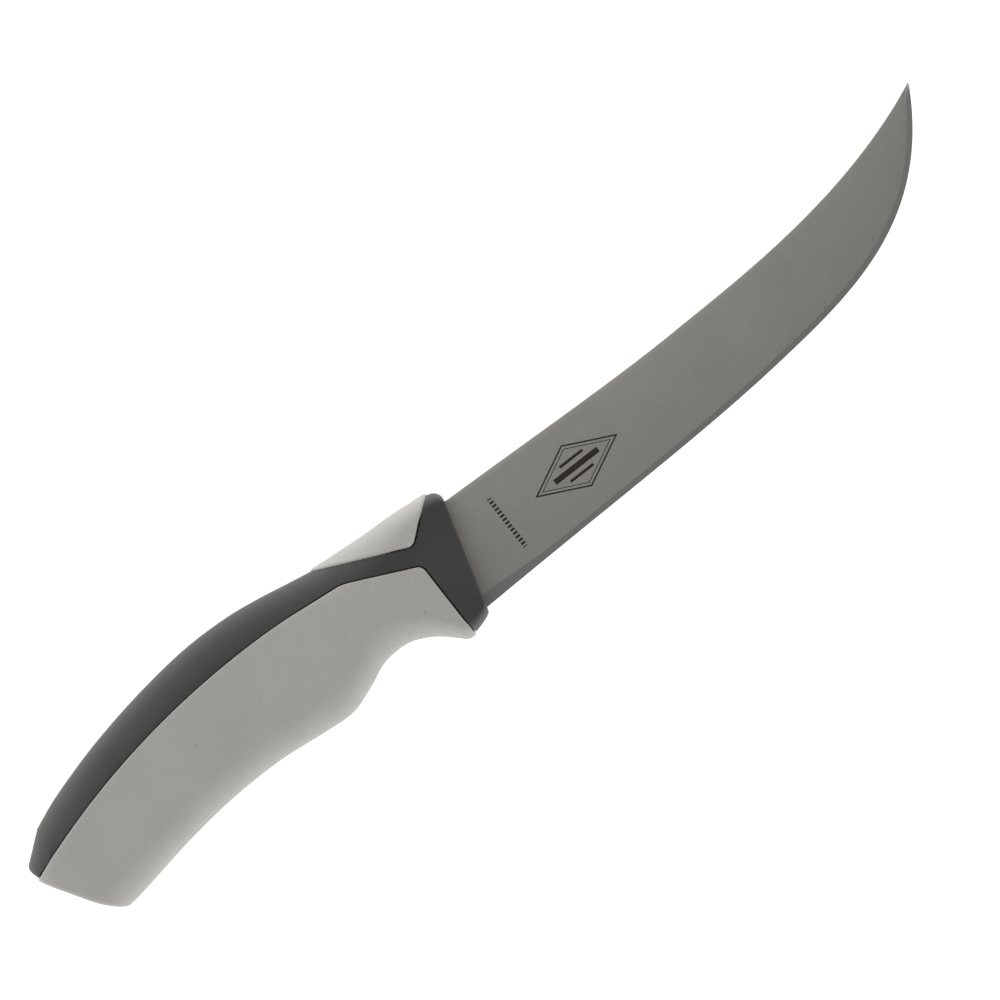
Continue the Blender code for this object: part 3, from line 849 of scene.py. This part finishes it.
def soft_plastic(name, white, worn):
    """Off-white soft moulded elastomer, lightly marked by use."""
    made = bpy.data.materials.new(name)
    made.use_nodes = True
    tree = made.node_tree
    shader = tree.nodes["Principled BSDF"]
    shader.inputs["IOR"].default_value = 1.46
    shader.inputs["Specular IOR Level"].default_value = 0.35
    place = add(tree, "ShaderNodeTexCoord", {}, {}).outputs["Object"]
    cloudy = {"Scale": 1000 / GRIP_CLOUD, "Detail": 5.0, "Roughness": 0.62}
    cloud = add(tree, "ShaderNodeTexNoise", cloudy, {"Vector": place})
    wearing = {"From Min": 0.45, "From Max": 0.72}
    worn_part = add(tree, "ShaderNodeMapRange", wearing, {"Value": cloud.outputs[0]})
    tone = add(
        tree,
        "ShaderNodeMix",
        {"data_type": "RGBA", COLOUR_A: linear(white), COLOUR_B: linear(worn)},
        {FACTOR: worn_part.outputs[0]},
    )
    scale = [1000 / size for size in RUB_SIZES]
    along = add(
        tree,
        "ShaderNodeMapping",
        {"Rotation": (0, 0, math.radians(RUB_TURN)), "Scale": scale},
        {"Vector": place},
    )
    streaky = {"Scale": 1.0, "Detail": 3.0}
    streak = add(tree, "ShaderNodeTexNoise", streaky, {"Vector": along.outputs[0]})
    rubbing = {"From Min": 0.62, "From Max": 0.80, "To Max": 0.07}
    rub = add(tree, "ShaderNodeMapRange", rubbing, {"Value": streak.outputs[0]})
    rubbed = add(
        tree,
        "ShaderNodeMix",
        {"data_type": "RGBA", COLOUR_B: linear(GRIP_SPECK)},
        {FACTOR: rub.outputs[0], COLOUR_A: tone.outputs[MIXED_COLOUR]},
    )
    dust = add(tree, "ShaderNodeTexVoronoi", {"Scale": 1000 / SPECK_SPACING}, {"Vector": place})
    chosen = add(tree, "ShaderNodeSeparateColor", {}, {0: dust.outputs["Color"]})
    choosing = {"operation": "GREATER_THAN", 1: SPECK_RARITY}
    rare = add(tree, "ShaderNodeMath", choosing, {0: chosen.outputs[0]})
    fading = {"From Min": SPECK_EDGE[0], "From Max": SPECK_EDGE[1], "To Min": 0.55, "To Max": 0.0}
    dot = add(tree, "ShaderNodeMapRange", fading, {"Value": dust.outputs["Distance"]})
    both = {0: rare.outputs[0], 1: dot.outputs[0]}
    speck = add(tree, "ShaderNodeMath", {"operation": "MULTIPLY"}, both)
    specked = add(
        tree,
        "ShaderNodeMix",
        {"data_type": "RGBA", COLOUR_B: linear(GRIP_SPECK)},
        {FACTOR: speck.outputs[0], COLOUR_A: rubbed.outputs[MIXED_COLOUR]},
    )
    grainy = {"Scale": 1000 / GRIP_GRAIN, "Detail": 3.0}
    grain = add(tree, "ShaderNodeTexNoise", grainy, {"Vector": place})
    shading = {"From Min": 0.3, "From Max": 0.7, "To Min": 0.94, "To Max": 1.04}
    shade = add(tree, "ShaderNodeMapRange", shading, {"Value": grain.outputs[0]})
    grained = add(
        tree,
        "ShaderNodeMix",
        {"data_type": "RGBA", "blend_type": "MULTIPLY", FACTOR: 1.0},
        {COLOUR_A: specked.outputs[MIXED_COLOUR], COLOUR_B: shade.outputs[0]},
    )
    tree.links.new(grained.outputs[MIXED_COLOUR], shader.inputs["Base Color"])
    rough = add(
        tree, "ShaderNodeMapRange", {"To Min": 0.60, "To Max": 0.74}, {"Value": cloud.outputs[0]}
    )
    tree.links.new(rough.outputs[0], shader.inputs["Roughness"])
    fine = add(
        tree,
        "ShaderNodeBump",
        {"Strength": 0.6, "Distance": GRIP_GRAIN_DEPTH / 1000},
        {"Height": grain.outputs[0]},
    )
    tree.links.new(fine.outputs[0], shader.inputs["Normal"])
    return made


def face_outward(bm):
    """Turns the faces of an open panel outwards, by its highest one."""
    bmesh.ops.recalc_face_normals(bm, faces=bm.faces)
    if max(bm.faces, key=lambda face: face.calc_center_median().z).normal.z < 0:
        bmesh.ops.reverse_faces(bm, faces=bm.faces)
    bm.normal_update()


def roll_edge(bm, outline):
    """Draws a panel's open edge out to its outline, over a rounded corner and down a short wall."""
    rim = [vertex for vertex in bm.verts if vertex.is_boundary]
    outs = []
    for vertex in rim:
        one, two = (side.other_vert(vertex).co for side in vertex.link_edges if side.is_boundary)
        out = (two - one).cross(vertex.normal).normalized()
        within = sum((face.calc_center_median() - vertex.co for face in vertex.link_faces), out * 0)
        outs.append(out if out.dot(within) < 0 else -out)
    outs = np.array(outs)
    starts = np.array([vertex.co for vertex in rim])
    ups = np.array([vertex.normal for vertex in rim])
    places = (starts - HOME) * 1000
    depth = inside(places, outline)
    rate = (depth - inside(places + outs * ROLL_PROBE, outline)) / ROLL_PROBE
    reach = np.clip(depth / np.maximum(rate, LEAST_RATE), 0, REACH_LIMIT)[:, None]
    turns = np.linspace(0, math.pi / 2, ROLL_STEPS + 1)[1:]
    profile = [(math.sin(turn), 1 - math.cos(turn)) for turn in turns]
    profile.append((1, 1 + EDGE_WALL / ROLLED_EDGE))
    for wide, deep in profile:
        sides = [side for side in bm.edges if side.is_boundary]
        drawn = bmesh.ops.extrude_edge_only(bm, edges=sides)["geom"]
        fresh = {item for item in drawn if isinstance(item, bmesh.types.BMVert)}
        rim = [
            next(side.other_vert(old) for side in old.link_edges if side.other_vert(old) in fresh)
            for old in rim
        ]
        moved = starts + (outs * reach * wide - ups * ROLLED_EDGE * deep) / 1000
        for vertex, place in zip(rim, moved):
            vertex.co = place


def panel_of(name, rows, outline, surface):
    """A moulded panel with its rolled edge and the thickness of its skin."""
    bm = sheet(rows)
    bmesh.ops.remove_doubles(bm, verts=bm.verts, dist=SAME_PLACE)
    face_outward(bm)
    roll_edge(bm, outline)
    face_outward(bm)
    made = piece_of(name, bm, surface)
    wall = made.modifiers.new("Wall", "SOLIDIFY")
    wall.thickness = SKIN_THICK / 1000
    wall.offset = -1
    return made


belly = panel_of(
    "belly_grip_soft",
    belly_rows(),
    belly_outline(),
    soft_plastic("Off-white soft elastomer", GRIP_WHITE, GRIP_WORN),
)
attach(belly, "root")
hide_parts("belly_grip")


# The thumb panel: a saddle of the same off-white elastomer, moulded over the handle's back behind
# the collar. Its edge comes to a blunt corner on each side and a rounded end behind.
THUMB_HALF = 26
THUMB_BACK_END = 5.0
# Painted light: the thumb panel's off-white and its worn tone are painted lighter than the belly
# panel's, a painted highlight for the light on its upturned back.
THUMB_PAINTED_LIT_WHITE = "#d6d5d2"
THUMB_PAINTED_LIT_WORN = "#d1d0cc"


def thumb_rows():
    """Rows of places over the back, from the panel's rear end to its front end."""
    outline = drawn_in(thumb_outline())
    line = evenly(outline[: CORNER_MIDDLE + 1], spacing=FINE_SPACING)
    line = line[on_skin(line)[:, 2] > 0]
    front = evenly(outline[CORNER_MIDDLE:], spacing=FINE_SPACING)
    front = front[on_skin(front)[:, 2] > 0]
    lows = evenly(line[round(THUMB_BACK_END / FINE_SPACING) :], spacing=ROW_SPACING)
    ends = station(np.array([line[0], front[-1]]))
    places = station(lows)
    ups = rib_at(np.interp(-places, (-places[0], -places[-1]), ends))
    rows = []
    for low, up, bow in zip(lows, ups, bows(front, len(lows))):
        rows.append(row_round(low, up[2:], THUMB_HALF, bow))
    return np.array(rows)


# The thumb panel takes a lighter copy of the belly's elastomer, with the painted highlight in its
# colours.
thumb = panel_of(
    "thumb_panel_soft",
    thumb_rows(),
    thumb_outline(),
    soft_plastic("Off-white soft elastomer, painted lighter thumb", THUMB_PAINTED_LIT_WHITE, THUMB_PAINTED_LIT_WORN),
)
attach(thumb, "root")
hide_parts("thumb_panel")


# The floor: a wide sheet of pale diffusing plastic that the knife lies on. It is lit from behind,
# so that it glows evenly and reads as white.
FLOOR_WHITE = "#f4f4f4"
FLOOR_HALF = 3
FLOOR_GLOW = 0.75
bm = bmesh.new()
bmesh.ops.create_grid(bm, x_segments=1, y_segments=1, size=FLOOR_HALF)
floor_mesh = bpy.data.meshes.new("floor")
bm.to_mesh(floor_mesh)
bm.free()
floor = bpy.data.objects.new("floor", floor_mesh)
bpy.context.scene.collection.objects.link(floor)
pale = bpy.data.materials.new("Pale diffusing sheet")
pale.use_nodes = True
sheet_shader = pale.node_tree.nodes["Principled BSDF"]
sheet_shader.inputs["Base Color"].default_value = linear(FLOOR_WHITE)
sheet_shader.inputs["Roughness"].default_value = 0.9
sheet_shader.inputs["Emission Color"].default_value = (1, 1, 1, 1)
sheet_shader.inputs["Emission Strength"].default_value = FLOOR_GLOW
floor_mesh.materials.append(pale)


# The light: an even surround that is brighter at the horizon than overhead, with one large soft
# lamp over the knife's back.
HORIZON_GLOW = 0.95
OVERHEAD_GLOW = 0.25
OVERHEAD_HEIGHT = 0.9
world = bpy.data.worlds.new("surround")
bpy.context.scene.world = world
world.use_nodes = True
backdrop = world.node_tree.nodes["Background"]
backdrop.inputs["Color"].default_value = (1.0, 0.995, 0.985, 1)
ray = add(world.node_tree, "ShaderNodeTexCoord", {}, {}).outputs["Generated"]
height = add(world.node_tree, "ShaderNodeSeparateXYZ", {}, {0: ray}).outputs["Z"]
dimming = {"From Max": OVERHEAD_HEIGHT, "To Min": HORIZON_GLOW, "To Max": OVERHEAD_GLOW}
glow = add(world.node_tree, "ShaderNodeMapRange", dimming, {"Value": height})
world.node_tree.links.new(glow.outputs[0], backdrop.inputs["Strength"])
lamp_data = bpy.data.lights.new("soft lamp", "AREA")
lamp_data.shape = "RECTANGLE"
lamp_data.size = 1.2
lamp_data.size_y = 0.8
lamp_data.energy = 2.5
lamp = bpy.data.objects.new("soft lamp", lamp_data)
lamp.location = (-0.5, 0.7, 1.0)
lamp.rotation_euler = (math.radians(-35), math.radians(-25), 0)
bpy.context.scene.collection.objects.link(lamp)
bpy.context.scene.view_settings.view_transform = "Standard"


# The camera: square above the knife's side, turned so that the blade rises to the right. Its width
# is the view's on the knife, in metres.
CAMERA_LENS = 120.0
CAMERA_WIDTH = 0.2338
CAMERA_MIDDLE = (0.0143, 0.0050)
CAMERA_TURN = -38
camera_data = bpy.data.cameras.new("camera")
camera_data.lens = CAMERA_LENS
camera_data.clip_start = 0.01
camera = bpy.data.objects.new("camera", camera_data)
camera.location = (
    HOME[0] + CAMERA_MIDDLE[0],
    HOME[1] + CAMERA_MIDDLE[1],
    HOME[2] + CAMERA_WIDTH * CAMERA_LENS / camera_data.sensor_width,
)
camera.rotation_euler = (0, 0, math.radians(CAMERA_TURN))
bpy.context.scene.collection.objects.link(camera)
bpy.context.scene.camera = camera
